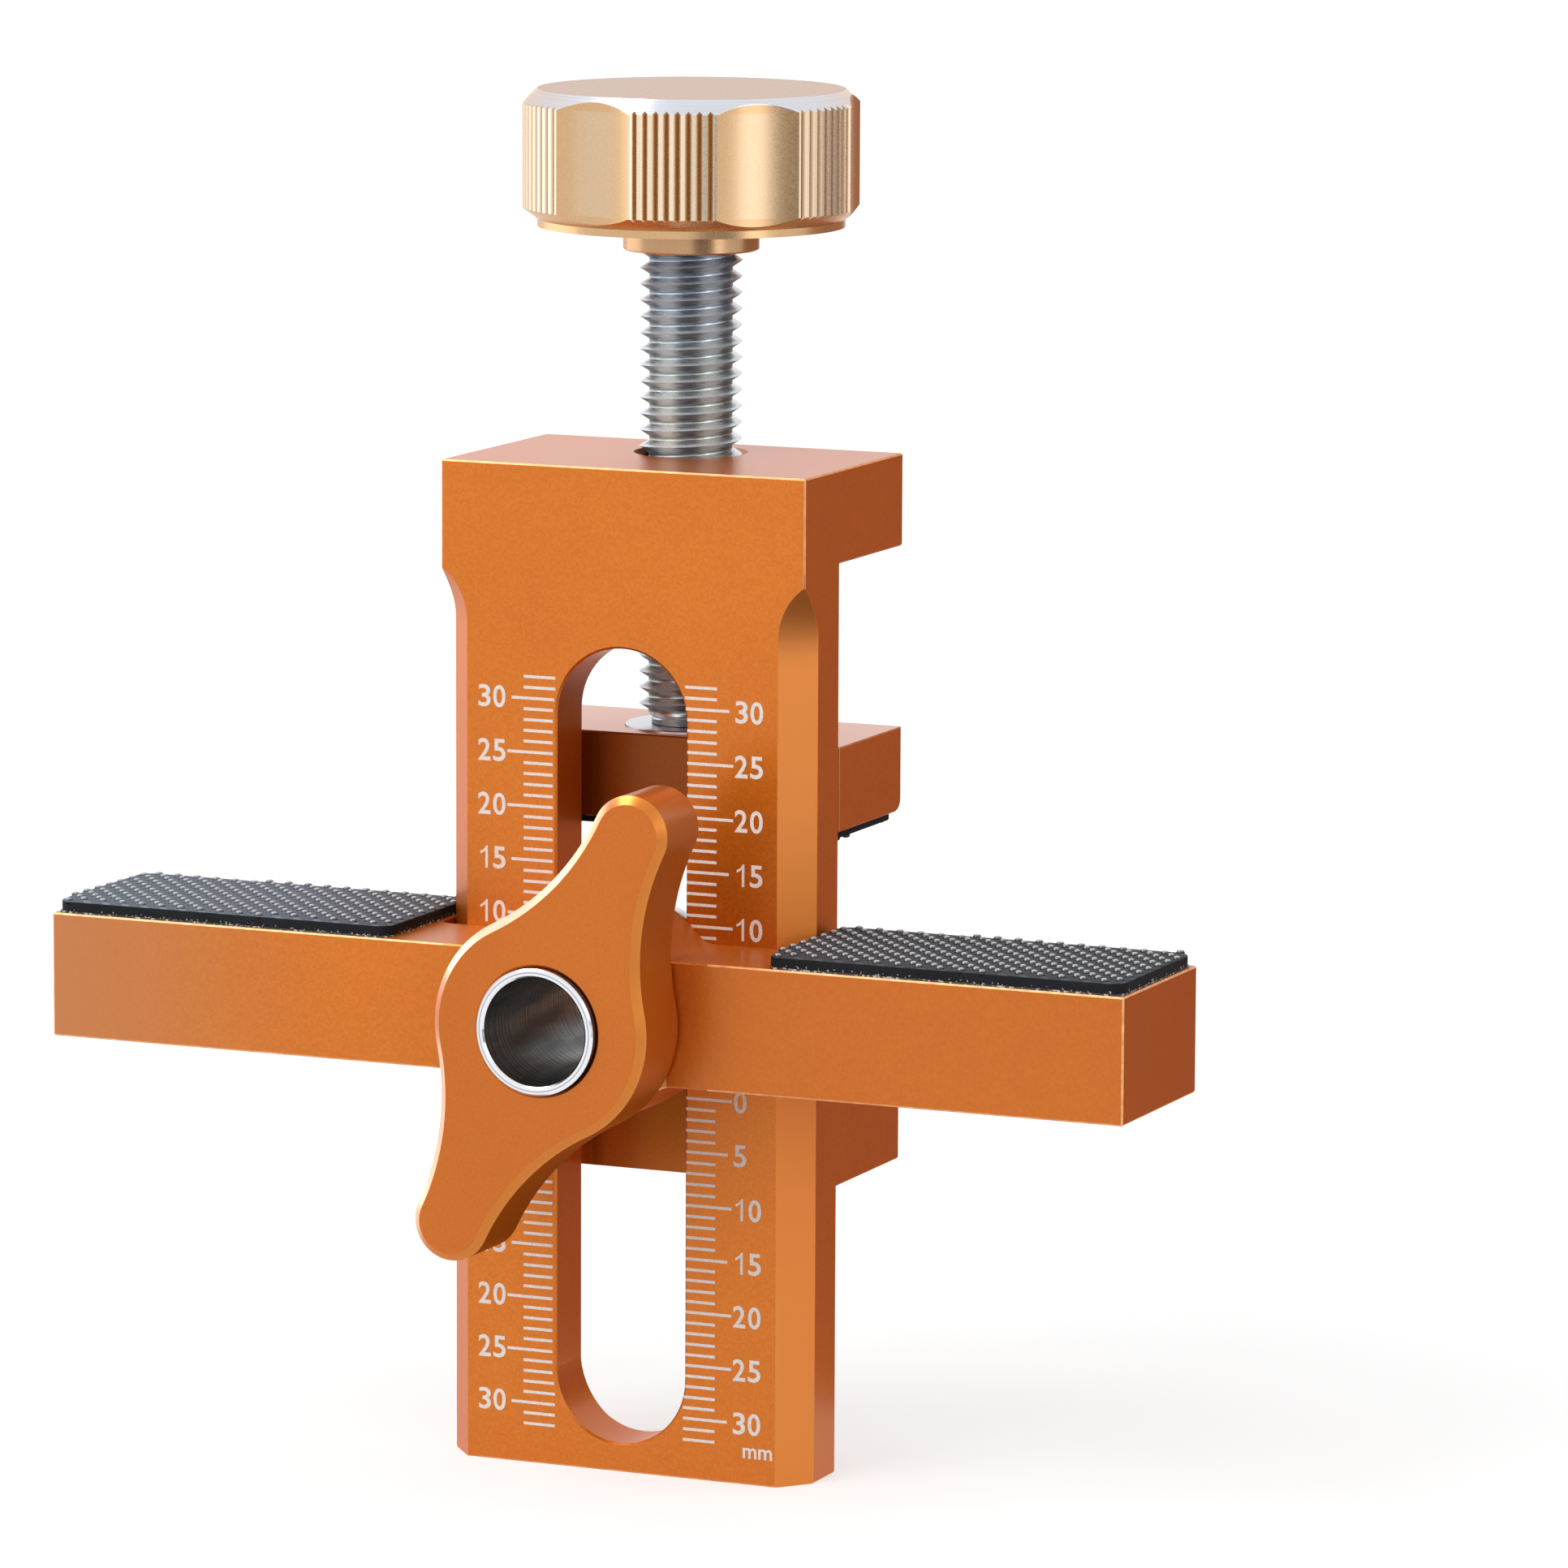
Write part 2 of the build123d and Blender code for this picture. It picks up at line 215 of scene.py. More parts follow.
# Painted shade at the top of the bevel's run-out
run_out_shade_brown = paint("#8a4a1a")
# Screw hole's mouth: painted shadow at its left, painted light at its right
hole_painted_shadow = paint("#120704")
hole_painted_light = paint("#e3b09a")
# Painted pale sheen on the moving jaw's top
jaw_top_painted_sheen = paint("#e6c2b8")
chamfer_inner = paint("#d07a2a")
chamfer_outer = paint("#cf7f30")
# Painted highlight on the handle chamfer's upper left
chamfer_painted_highlight = paint("#ffd9b8")
handle_shade = paint("#4a1f06")

# Colours of the gold knob
gold = paint("#c8a174")
gold_light = paint("#d0aa7e")
# Painted pale sheen in the knob's scallops
gold_scallop_sheen = paint("#ded0bd")
# Painted highlight on the rib crests and painted shade in the grooves
gold_rib_highlight = paint("#f2e2ca")
gold_groove_shade = paint("#b18554")
# Painted grazing sheen of the knob's top face
gold_top_sheen = paint("#a6978f")
gold_collar = paint("#a87f5e")
turned_dark = paint("#c3c7d1")
turned_bright = paint("#eceef3")

# Colours of the steel, which is colder near the knob
thread_dull = paint("#989fa1")
thread_dull_cold = paint("#8792a9")
# Painted reflection bands on the thread, colder near the knob
thread_reflection = paint("#f2faf8")
thread_reflection_cold = paint("#dce6f8")
# Painted shade on the thread's undersides and roots, and a painted highlight on its polished crests
thread_underside_shade = paint("#3f454a")
thread_root_shade = paint("#363b40")
thread_crest_polish_and_highlight = paint("#eaf6ff")
# Painted shade inside the bore, with lighter machining marks
bore_shade = paint("#484b4c")
bore_mark = paint("#cfd0cd")
bush_polished = paint("#e9eaee")
bush_groove_grey = paint("#8b8ea0")
washer_grey = paint("#c3c4cc")
washer_bright = paint("#e2e3ea")

# Colours of the rubber, the film and the print
rubber_black = paint("#0c0d10")
rubber_side = paint("#1d1f24")
# Painted sheen on the pads' tops, paler to the left
rubber_top_sheen = paint("#424448")
rubber_top_sheen_left = paint("#666d79")
# Painted highlight lines along the rows of knobs
rubber_ridge_highlight = paint("#8f97a5")
knob_grey = paint("#4c4e53")
knob_grey_light = paint("#777a80")
knob_sheen_left = paint("#8b94a3")
# Knob tips: wear and a painted highlight
knob_tip_wear_and_highlight = paint("#d2d5da")
# Painted shade round the foot of each knob
knob_foot_shade = paint("#0c0d0f")
glue_crumb = paint("#b3aba3")
film_grey = paint("#3a3836")
film_crumb = paint("#cfc4ba")
print_dull = paint("#e6d9d0")
print_white = paint("#f6eee8")


class Value:
    """A number in a node tree. Python's own signs add the Math nodes."""

    def __init__(self, tree, socket):
        self.tree = tree
        self.socket = socket

    def maths(self, operation, first, second):
        node = self.tree.add("ShaderNodeMath", {"operation": operation}, {0: first, 1: second})
        return Value(self.tree, node.outputs[0])

    def __add__(self, other):
        return self.maths("ADD", self, other)

    def __radd__(self, other):
        return self.maths("ADD", other, self)

    def __sub__(self, other):
        return self.maths("SUBTRACT", self, other)

    def __rsub__(self, other):
        return self.maths("SUBTRACT", other, self)

    def __mul__(self, other):
        return self.maths("MULTIPLY", self, other)

    def __rmul__(self, other):
        return self.maths("MULTIPLY", other, self)

    def __truediv__(self, other):
        return self.maths("DIVIDE", self, other)

    def __rtruediv__(self, other):
        return self.maths("DIVIDE", other, self)

    def __mod__(self, other):
        return self.maths("FLOORED_MODULO", self, other)

    def __gt__(self, other):
        return self.maths("GREATER_THAN", self, other)

    def __lt__(self, other):
        return self.maths("LESS_THAN", self, other)

    def __abs__(self):
        return self.maths("ABSOLUTE", self, 0.0)

    def floor(self):
        return self.maths("FLOOR", self, 0.0)

    def root(self):
        return self.maths("SQRT", self, 0.0)

    def turn_from(self, across):
        """The angle of a point, from its height and how far across it lies."""
        return self.maths("ARCTAN2", self, across)

    def sine(self):
        return self.maths("SINE", self, 0.0)

    def cosine(self):
        return self.maths("COSINE", self, 0.0)

    def at_least(self, other):
        return self.maths("MAXIMUM", self, other)

    def at_most(self, other):
        return self.maths("MINIMUM", self, other)

    def between(self, low, high):
        """0 below the low limit, 1 above the high one, and a smooth rise between them."""
        node = self.tree.add(
            "ShaderNodeMapRange", {"interpolation_type": "SMOOTHSTEP"}, {"Value": self, 1: low, 2: high}
        )
        return Value(self.tree, node.outputs[0])


class Tree:
    """A shader's or a shape's node tree."""

    def __init__(self, tree):
        self.tree = tree

    def add(self, kind, settings=None, inputs=None):
        """A node of a kind: its settings first, then the values or links of its sockets."""
        node = self.tree.nodes.new(kind)
        for name, value in (settings or {}).items():
            setattr(node, name, value)
        for name, value in (inputs or {}).items():
            socket = node.inputs[name]
            if isinstance(value, Value):
                self.tree.links.new(value.socket, socket)
            elif isinstance(value, bpy.types.NodeSocket):
                self.tree.links.new(value, socket)
            else:
                socket.default_value = value
        return node

    def value(self, socket):
        return Value(self, socket)

    def place(self):
        """The three coordinates on the piece, in metres."""
        coordinates = self.add("ShaderNodeTexCoord").outputs["Object"]
        parts = self.add("ShaderNodeSeparateXYZ", inputs={0: coordinates}).outputs
        return [self.value(part) for part in parts]

    def vector(self, x, y, z):
        return self.add("ShaderNodeCombineXYZ", inputs={0: x, 1: y, 2: z}).outputs[0]

    def noise(self, scale, detail, where=None):
        """A cloudy value about 0.5, with a number of lumps in a metre."""
        where = where or self.add("ShaderNodeTexCoord").outputs["Object"]
        node = self.add("ShaderNodeTexNoise", inputs={"Vector": where, "Scale": scale, "Detail": detail})
        return self.value(node.outputs[0])

    def streaks(self, detail, x, y, z):
        """A noise drawn out along some axes, from coordinates already in lumps."""
        return self.noise(1.0, detail, self.vector(x, y, z))

    def blend(self, share, first, second):
        """A colour between two, by a share."""
        node = self.add("ShaderNodeMix", {"data_type": "RGBA"}, {0: share, 6: first, 7: second})
        return node.outputs[2]

    def relief(self, height, strength, depth):
        """A normal for a surface with that height, whose full swing is the depth."""
        inputs = {"Height": height, "Strength": strength, "Distance": depth}
        return self.add("ShaderNodeBump", inputs=inputs).outputs[0]


def empty_material(name):
    """A new material and its node tree, with nothing in it yet."""
    made = bpy.data.materials.new(name)
    made.use_nodes = True
    made.node_tree.nodes.clear()
    return made, Tree(made.node_tree)


def surface(name, dress):
    """A material whose dress function gives the sockets of its Principled shader."""
    made, tree = empty_material(name)
    shader = tree.add("ShaderNodeBsdfPrincipled", inputs=dress(tree))
    tree.add("ShaderNodeOutputMaterial", inputs={"Surface": shader.outputs[0]})
    return made


def blasted_grain(tree):
    """The fine even grain of bead blasting, and slow clouds over it."""
    fine = tree.noise(grain_lumps, 2.0)
    clouds = tree.noise(cloud_lumps, 3.0)
    return fine, clouds


def close_to(value, limits):
    """1 within reach of either limit."""
    low, high = limits
    return (value < low + edge_reach).at_least(value > high - edge_reach)


def block_edges(tree, x_limits, y_limits, z_limits):
    """1 along the broken edges of a block, where two of its faces are in reach."""
    x, y, z = tree.place()
    return close_to(x, x_limits) + close_to(y, y_limits) + close_to(z, z_limits) > more_than_one


def body_edges(tree):
    """The outer edges of the body."""
    return block_edges(
        tree, (body_low.x, body_high.x), (body_low.y, body_high.y), (body_low.z, body_high.z)
    )


def jaw_edges(tree):
    """The jaw's edges, apart from those at its front and its foot, which get neither wear nor the painted
    edge highlight.
    """
    return block_edges(
        tree, (jaw_low.x, jaw_high.x), (jaw_low.y - out_of_reach, jaw_high.y),
        (jaw_low.z - out_of_reach, jaw_high.z)
    )


def bar_edges(tree):
    """The long straight edges on both sides of the hub, and the hub's own round edge."""
    x, y, z = tree.place()
    at_front = y < bar_low.y + edge_reach
    past_hub = abs(x) > hub_radius + hub_blend
    at_rim = abs(abs(z - bar_middle) - (bar_top - bar_middle)) < edge_reach
    at_end = abs(x) > bar_high.x - edge_reach
    straight = at_front + at_rim * past_hub + at_end > more_than_one
    radius = (x * x + (z - bar_middle) * (z - bar_middle)).root()
    round_edge = (radius > hub_radius - edge_reach) * at_front * (abs(x) < hub_radius - hub_rim_margin)
    return straight.at_least(round_edge)


def anodised(tree, edge, top=above_all, milled=0.0, shaded=0.0, painted_sheen=0.0, deep=0.0, flat_sheen=0.3):
    """Orange dye in blasted aluminium, redder at a slant, under a clear seal, worn along its edges and
    painted paler there as an edge highlight.
    """
    z = tree.place()[2]
    fine, clouds = blasted_grain(tree)
    grain = fine.between(0.25, 0.75) * 0.75 + clouds.between(0.3, 0.7) * 0.25
    dye = tree.blend(grain, orange_dye, orange_dye_light)
    dye = tree.blend(deep, dye, orange_deep)
    # Painted sheen: paler and greyer
    dye = tree.blend(painted_sheen, dye, orange_sheen_grey)
    dye = tree.blend(milled, dye, orange_milled)
    dye = tree.blend(shaded, dye, orange_shade)
    # Paler broken edges: real wear, and a painted highlight along them
    wear_and_highlight = edge * (0.5 + tree.noise(wear_and_highlight_lumps, 3.0).between(0.3, 0.7) * 0.5)
    upward = z > top - on_face
    return {
        "Base Color": tree.blend(wear_and_highlight, dye, orange_wear_and_highlight),
        "Metallic": 0.8 - milled * 0.7 - upward * (0.55 - flat_sheen),
        "Roughness": 0.36 + fine * 0.12 + edge * 0.2,
        "IOR": 1.6,
        "Specular Tint": (1.0, 0.5, 0.35, 1.0),
        "Coat Weight": 0.55 - milled * 0.4 + upward * flat_sheen - shaded * 0.45,
        "Coat Roughness": 0.26,
        "Normal": tree.relief(fine, 0.35, grain_depth),
    }


def body_anodising(tree):
    """The body, with its milled bevels, painted shade at the top of the right bevel where it runs out, the
    screw hole's mouth painted dark at its left and light at its right, and the fixed jaw's front in the shade
    of the slot.
    """
    x, y, z = tree.place()
    across = (x > body_high.x - bevel_width + bevel_margin) * (x < body_high.x - bevel_margin)
    behind = (y > body_low.y + bevel_margin) * (y < body_low.y + bevel_depth - bevel_margin)
    milled = across * behind * (z < bevel_top)
    # Painted shade darkening the top of the right bevel's run-out
    run_out = milled * z.between(run_out_low, run_out_high) * 0.5
    in_slot = (abs(y - plate_rear) < on_face) * (abs(x) < slot_half) * (z < 0.0) * (z > fixed_jaw_foot)
    radius = (x * x + y * y).root()
    below_top = (z < body_high.z - 0.01 * MM) * (z > body_high.z - hole_mouth_depth)
    mouth = (radius < hole_mouth_radius) * below_top
    shaded = (in_slot * 0.3).at_least(run_out)
    finish = anodised(tree, body_edges(tree) * 0.6, body_high.z, milled=milled, shaded=shaded)
    # Painted shadow in the hole's mouth at its left, painted light at its right
    mouth_shading = tree.blend(x.between(-2.5 * MM, 1.0 * MM), hole_painted_shadow, hole_painted_light)
    dye = tree.blend(run_out, finish["Base Color"], run_out_shade_brown)
    return finish | {
        "Base Color": tree.blend(mouth, dye, mouth_shading),
        "Coat Weight": finish["Coat Weight"] - mouth * 0.5,
    }


def jaw_anodising(tree):
    """The moving jaw, whose front is painted darker for the shade of the slot and whose top is painted pale
    as a sheen.
    """
    y, z = tree.place()[1:]
    in_slot = y < plate_rear + 0.2 * MM
    finish = anodised(tree, jaw_edges(tree) * 0.6, jaw_high.z, shaded=in_slot * 0.75, flat_sheen=0.45)
    # Painted sheen: the top face paler
    upward = z > jaw_high.z - on_face
    return finish | {"Base Color": tree.blend(upward * 0.6, finish["Base Color"], jaw_top_painted_sheen)}


def bar_anodising(tree):
    """The crossbar, with a painted sheen that makes it paler and greyer towards its left end, and deeper
    right of its middle.
    """
    x = tree.place()[0]
    # Painted sheen, paler and greyer towards the left end
    left = (0.0 - x).between(22.0 * MM, 58.0 * MM)
    deep = x.between(-25.0 * MM, 15.0 * MM) * 0.4
    return anodised(tree, bar_edges(tree), bar_top, painted_sheen=left * 0.85, deep=deep, flat_sheen=-0.1)


def handle_anodising(tree):
    """The same finish, with the front chamfer cut bright after blasting and a painted highlight on its upper
    left, the bore's mouth in painted shade, and painted shade on the walls of the lower lobe.
    """
    x, depth, z = tree.place()
    up = z - bar_middle
    radius = (x * x + up * up).root()
    off_face = depth > handle_low.y + on_face
    mouth = off_face * (radius < handle_mouth)
    chamfer = (off_face * (depth < handle_wall) - mouth).at_least(0.0)
    finish = anodised(tree, 0.0, deep=0.4)
    # Painted highlight: the chamfer whiter towards its upper left
    left = (up * 0.45 - x).between(1.5 * MM, 4.5 * MM)
    outer = depth.between(handle_low.y + 0.35 * MM, handle_low.y + 0.7 * MM)
    bright = tree.blend(left, tree.blend(outer, chamfer_inner, chamfer_outer), chamfer_painted_highlight)
    chamfer_cut_and_highlit = tree.blend(chamfer, finish["Base Color"], bright)
    wall = depth > handle_wall
    below = wall * (0.0 - up).between(3.0 * MM, 7.0 * MM)
    shaded = (mouth * x.between(-2.0 * MM, 5.0 * MM)).at_least(below * 0.55)
    fine = tree.noise(grain_lumps, 2.0)
    return finish | {
        "Base Color": tree.blend(shaded * 0.9, chamfer_cut_and_highlit, handle_shade),
        "Metallic": 0.8 - wall * 0.4 + below * 0.5,
        "Roughness": finish["Roughness"] - chamfer * 0.12 + below * 0.4,
        "Coat Weight": 0.55 + chamfer * left * 0.45 - chamfer * 0.2 - below * 0.55,
        "Normal": tree.relief(fine, 0.35 - chamfer * 0.3, grain_depth),
    }


def gold_anodising(tree):
    """The knob: blasted gold, with the bare chamfer turned bright round the top, a painted pale sheen in the
    scallops, painted highlights on the rib crests and painted shade in their grooves, and a painted grazing
    sheen on the top face.
    """
    x, y, z = tree.place()
    fine, clouds = blasted_grain(tree)
    radius = (x * x + y * y).root()
    cone = knob_high.x - (z - knob_chamfer_foot) * knob_chamfer_slope
    on_cone = (radius > cone - 0.06 * MM) * (z > knob_chamfer_foot) * (z < knob_high.z - 0.01 * MM)
    shade = fine.between(0.2, 0.8) * 0.6 + clouds.between(0.3, 0.7) * 0.4
    dye = tree.blend(shade, gold, gold_light)
    wave = ((y.turn_from(x) - knob_scallop_turn) * knob_scallops).cosine()
    grip = (z < knob_chamfer_foot) * (z > knob_grip_foot)
    # Painted pale sheen in the middle of each scallop
    dye = tree.blend(wave.between(0.3, 1.0) * grip * 0.25, dye, gold_scallop_sheen)
    # Painted highlight on the rib crests and painted shade in their grooves
    groove = (knob_high.x - radius).between(0.02 * MM, 0.25 * MM)
    ribbed = tree.blend(groove, gold_rib_highlight, gold_groove_shade)
    dye = tree.blend((wave < 0.0) * grip * 0.8, dye, ribbed)
    # Painted grazing sheen on the top face, pinkish grey
    dye = tree.blend((z > knob_high.z - on_face) * 0.85, dye, gold_top_sheen)
    dye = tree.blend((radius < knob_collar) * (z < knob_grip_foot) * 0.5, dye, gold_collar)
    lathe_lines = tree.streaks(1.0, radius * 9000.0, z * 9000.0, 0.0)
    bright = tree.blend(lathe_lines, turned_dark, turned_bright)
    return {
        "Base Color": tree.blend(on_cone, dye, bright),
        "Metallic": 0.9 + on_cone * 0.1,
        "Roughness": (0.22 + fine * 0.1) * (1.0 - on_cone) + (0.12 + lathe_lines * 0.08) * on_cone,
        "IOR": 1.6,
        "Specular Tint": (1.0, 0.75, 0.6, 1.0),
        "Coat Weight": 0.4,
        "Coat Roughness": 0.3,
        "Normal": tree.relief(fine, 0.08 - on_cone * 0.06, grain_depth),
    }


def thread_steel(tree):
    """Rolled steel: crests polished and painted with a highlight, painted shade on the undersides and in the
    roots, painted bands of reflection round it over drawn marks, colder under the knob.
    """
    x, y, z = tree.place()
    turn = y.turn_from(x)
    phase = ((z - thread_start_height) / thread_pitch - turn / tau) % 1.0
    from_crest = 0.5 - abs(phase - 0.5)
    crest = 1.0 - phase.between(0.06, 0.18)
    underside = phase.between(0.48, 0.58)
    root = from_crest.between(0.36, 0.5)
    # Painted bands of reflection, mixed with the drawn marks
    reflection_band = ((turn + reflection_band_turn) * reflection_band_count).cosine() * 0.5 + 0.5
    drawn = tree.streaks(3.0, x * 900.0, y * 900.0, z * 14000.0)
    drawn_marks_and_reflection = (reflection_band * 0.65 + drawn.between(0.3, 0.7) * 0.35).between(0.1, 0.8)
    cold = z.between(62.0 * MM, 77.0 * MM)
    dull = tree.blend(cold, thread_dull, thread_dull_cold)
    reflected = tree.blend(cold, thread_reflection, thread_reflection_cold)
    flank = tree.blend(drawn_marks_and_reflection, dull, reflected)
    # Painted shade on the undersides and in the roots
    flank = tree.blend(underside * (0.8 - drawn_marks_and_reflection * 0.35), flank, thread_underside_shade)
    flank = tree.blend(root * 0.75, flank, thread_root_shade)
    # Polished crests with a painted highlight
    return {
        "Base Color": tree.blend(crest * 0.9, flank, thread_crest_polish_and_highlight),
        "Metallic": 0.65 - underside * 0.45 - crest * 0.1,
        "Roughness": 0.2 + drawn * 0.12 + underside * 0.2,
        "Normal": tree.relief(drawn, 0.15, 0.01 * MM),
    }


def bush_steel(tree):
    """A polished rim with a fine groove round it, and a reamed bore painted dark as shade, with its machining
    marks.
    """
    x, depth, z = tree.place()
    up = z - bush_middle
    radius = (x * x + up * up).root()
    bore = (radius < bush_bore) * (depth > bush_rim_foot)
    groove = (1.0 - abs(radius - bush_groove).between(0.01 * MM, 0.09 * MM)) * (depth < bush_rim_face)
    rings = tree.streaks(3.0, radius * 200.0, depth * 3600.0, 0.0)
    streaks = tree.streaks(3.0, x * 420.0, depth * 60.0, up * 420.0)
    marks = rings.between(0.35, 0.7) * streaks.between(0.3, 0.75)
    # Painted shade in the bore, with its machining marks
    shaded_bore = tree.blend(marks, bore_shade, bore_mark)
    rim = tree.blend(groove * 0.8, bush_polished, bush_groove_grey)
    return {
        "Base Color": tree.blend(bore, rim, shaded_bore),
        "Metallic": 1.0,
        "Roughness": 0.12 + bore * (0.1 + rings * 0.25),
        "Normal": tree.relief(rings, 0.05 + bore * 0.45, 0.01 * MM),
    }


def turned_steel(tree):
    """Bright steel with the rings that a lathe leaves."""
    x, y = tree.place()[:2]
    radius = (x * x + y * y).root()
    rings = tree.streaks(2.0, radius * 9000.0, 0.0, 0.0)
    return {
        "Base Color": tree.blend(rings, washer_grey, washer_bright),
        "Metallic": 1.0,
        "Roughness": 0.18 + rings * 0.12,
        "Normal": tree.relief(rings, 0.2, 0.01 * MM),
    }


def pad_rubber(face, tip, middle):
    """Black rubber with a painted grey sheen on top, paler to the left, painted highlight lines along the
    rows, and knobs with painted shade round the foot and tips worn and painted bright.
    """
    def dress(tree):
        x, y, z = tree.place()
        fine = tree.noise(6000.0, 3.0)
        clouds = tree.noise(240.0, 2.0)
        crumbs = tree.noise(3400.0, 2.0).between(0.6, 0.66)
        shade = fine.between(0.3, 0.75) * 0.6 + clouds.between(0.35, 0.7) * 0.4
        # Painted sheen, paler towards the left end
        left_sheen = (0.0 - x).between(0.0, pad_sheen_end)
        at_foot = abs(z - pad_glue_height) < pad_glue_reach
        across = (x - middle.x) * cos(knob_grid_turn) + (y - middle.y) * sin(knob_grid_turn)
        rise = (z - face) / (tip - face)
        on_top = rise > -0.3
        on_knob = rise.between(0.05, 0.6)
        # Painted highlight lines along the rows of knobs
        ridge_highlight = (across * (tau / knob_pitch)).cosine().between(-0.1, 0.9) * on_top
        # Painted shade round the foot of each knob
        ring = rise.between(0.0, 0.1) * (1.0 - rise.between(0.45, 0.7))
        sheet = tree.blend(shade, rubber_black, rubber_side)
        # Painted grey sheen on the top face
        sheet = tree.blend(on_top, sheet, tree.blend(left_sheen * 1.4, rubber_top_sheen, rubber_top_sheen_left))
        sheet = tree.blend(ridge_highlight * (0.15 + left_sheen * 0.6), sheet, rubber_ridge_highlight)
        knob = tree.blend(shade, knob_grey, knob_grey_light)
        knob = tree.blend(left_sheen * 0.8, knob, knob_sheen_left)
        # Knob tips worn and painted bright as a highlight
        knob = tree.blend(rise.between(0.6, 0.9) * 0.9, knob, knob_tip_wear_and_highlight)
        rubber = tree.blend(on_knob, sheet, knob)
        rubber = tree.blend(ring * (0.95 - left_sheen * 0.4), rubber, knob_foot_shade)
        return {
            "Base Color": tree.blend(crumbs * at_foot, rubber, glue_crumb),
            "Roughness": 0.7 + fine * 0.15,
            "Specular IOR Level": 0.2,
            "Coat Weight": on_knob * (0.6 - left_sheen * 0.3),
            "Coat Roughness": 0.1,
            "Coat IOR": 2.5,
            "Normal": tree.relief(fine, 0.5, 0.05 * MM),
        }

    return dress


def adhesive(tree):
    """A pale film gone grey, with crumbs of glue along its edge."""
    crumbs = tree.noise(2600.0, 2.0).between(0.52, 0.62)
    return {
        "Base Color": tree.blend(crumbs, film_grey, film_crumb),
        "Roughness": 0.5 + crumbs * 0.2,
        "Normal": tree.relief(crumbs, 0.4, 0.05 * MM),
    }


def laser_white(tree):
    """The scale's matt white, a little uneven."""
    fine = tree.noise(5200.0, 2.0)
    return {
        "Base Color": tree.blend(fine.between(0.3, 0.7), print_dull, print_white),
        "Roughness": 0.6 + fine * 0.15,
        "Normal": tree.relief(fine, 0.3, 0.01 * MM),
    }


class Shape:
    """A Geometry Nodes tree with named sizes, worked out on a mesh and left as a plain mesh."""

    def __init__(self, name):
        self.group = bpy.data.node_groups.new(name, "GeometryNodeTree")
        self.tree = Tree(self.group)
        self.sizes = {}
        self.face = self.group.interface
        self.face.new_socket("Geometry", in_out="INPUT", socket_type="NodeSocketGeometry")
        self.face.new_socket("Geometry", in_out="OUTPUT", socket_type="NodeSocketGeometry")
        self.inlet = self.tree.add("NodeGroupInput")

    def size(self, name, amount, whole=False):
        """A named input of the tree, as a value for its sums."""
        kind = "NodeSocketInt" if whole else "NodeSocketFloat"
        socket = self.face.new_socket(name, in_out="INPUT", socket_type=kind)
        self.sizes[socket.identifier] = int(amount) if whole else float(amount)
        return self.tree.value(self.inlet.outputs[name])

    def bake(self, name, base, geometry, material):
        """Ends the tree, works it out on a mesh, and gives the result as a plain object."""
        real = self.tree.add("GeometryNodeRealizeInstances", inputs={"Geometry": geometry}).outputs[0]
        dressed = self.tree.add("GeometryNodeSetMaterial", inputs={"Geometry": real, "Material": material})
        self.tree.add("NodeGroupOutput", inputs={0: dressed.outputs[0]})
        piece = placed(name, base)
        modifier = piece.modifiers.new(name, "NODES")
        modifier.node_group = self.group
        for identifier, amount in self.sizes.items():
            modifier[identifier] = amount
        return baked(piece)


def placed(name, data):
    """A new object in the scene, with its mesh, curve, lamp or lens."""
    made = bpy.data.objects.new(name, data)
    bpy.context.scene.collection.objects.link(made)
    return made


def worked_out(piece):
    """A plain mesh of what an object comes to, with its modifiers or its type."""
    bpy.context.view_layer.update()
    graph = bpy.context.evaluated_depsgraph_get()
    return bpy.data.meshes.new_from_object(piece.evaluated_get(graph), depsgraph=graph)


def baked(piece):
    """The same object with its modifiers worked out into its mesh."""
    mesh = worked_out(piece)
    piece.modifiers.clear()
    piece.data = mesh
    return piece


def mesh_of(name, build):
    """A new mesh, made by a function that fills a bmesh."""
    work = bmesh.new()
    build(work)
    mesh = bpy.data.meshes.new(name)
    work.to_mesh(mesh)
    work.free()
    return mesh


def stacked_rings(work, rings):
    """A closed skin over rings that have the same number of points, capped at both ends."""
    loops = [[work.verts.new(point) for point in ring] for ring in rings]
    for lower, upper in zip(loops, loops[1:]):
        for place in range(len(lower)):
            after = (place + 1) % len(lower)
            work.faces.new((lower[place], lower[after], upper[after], upper[place]))
    work.faces.new(loops[0][::-1])
    work.faces.new(loops[-1])


def turned(work, section, sides=48):
    """A turned piece from pairs of radius and height, from its foot up."""
    angles = [tau * side / sides for side in range(sides)]
    stacked_rings(work, [
        [(radius * cos(angle), radius * sin(angle), height) for angle in angles] for radius, height in section
    ])


def smoothed(piece, sharp_from):
    """Rounds the shading of a piece, apart from edges that turn by more than an angle."""
    piece.data.shade_smooth()
    piece.data.set_sharp_from_angle(angle=radians(sharp_from))


def shown(piece, body, material):
    """Sends a finished piece to ride on its body and its finish."""
    piece.data.materials.clear()
    piece.data.materials.append(material)
    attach(piece, body)


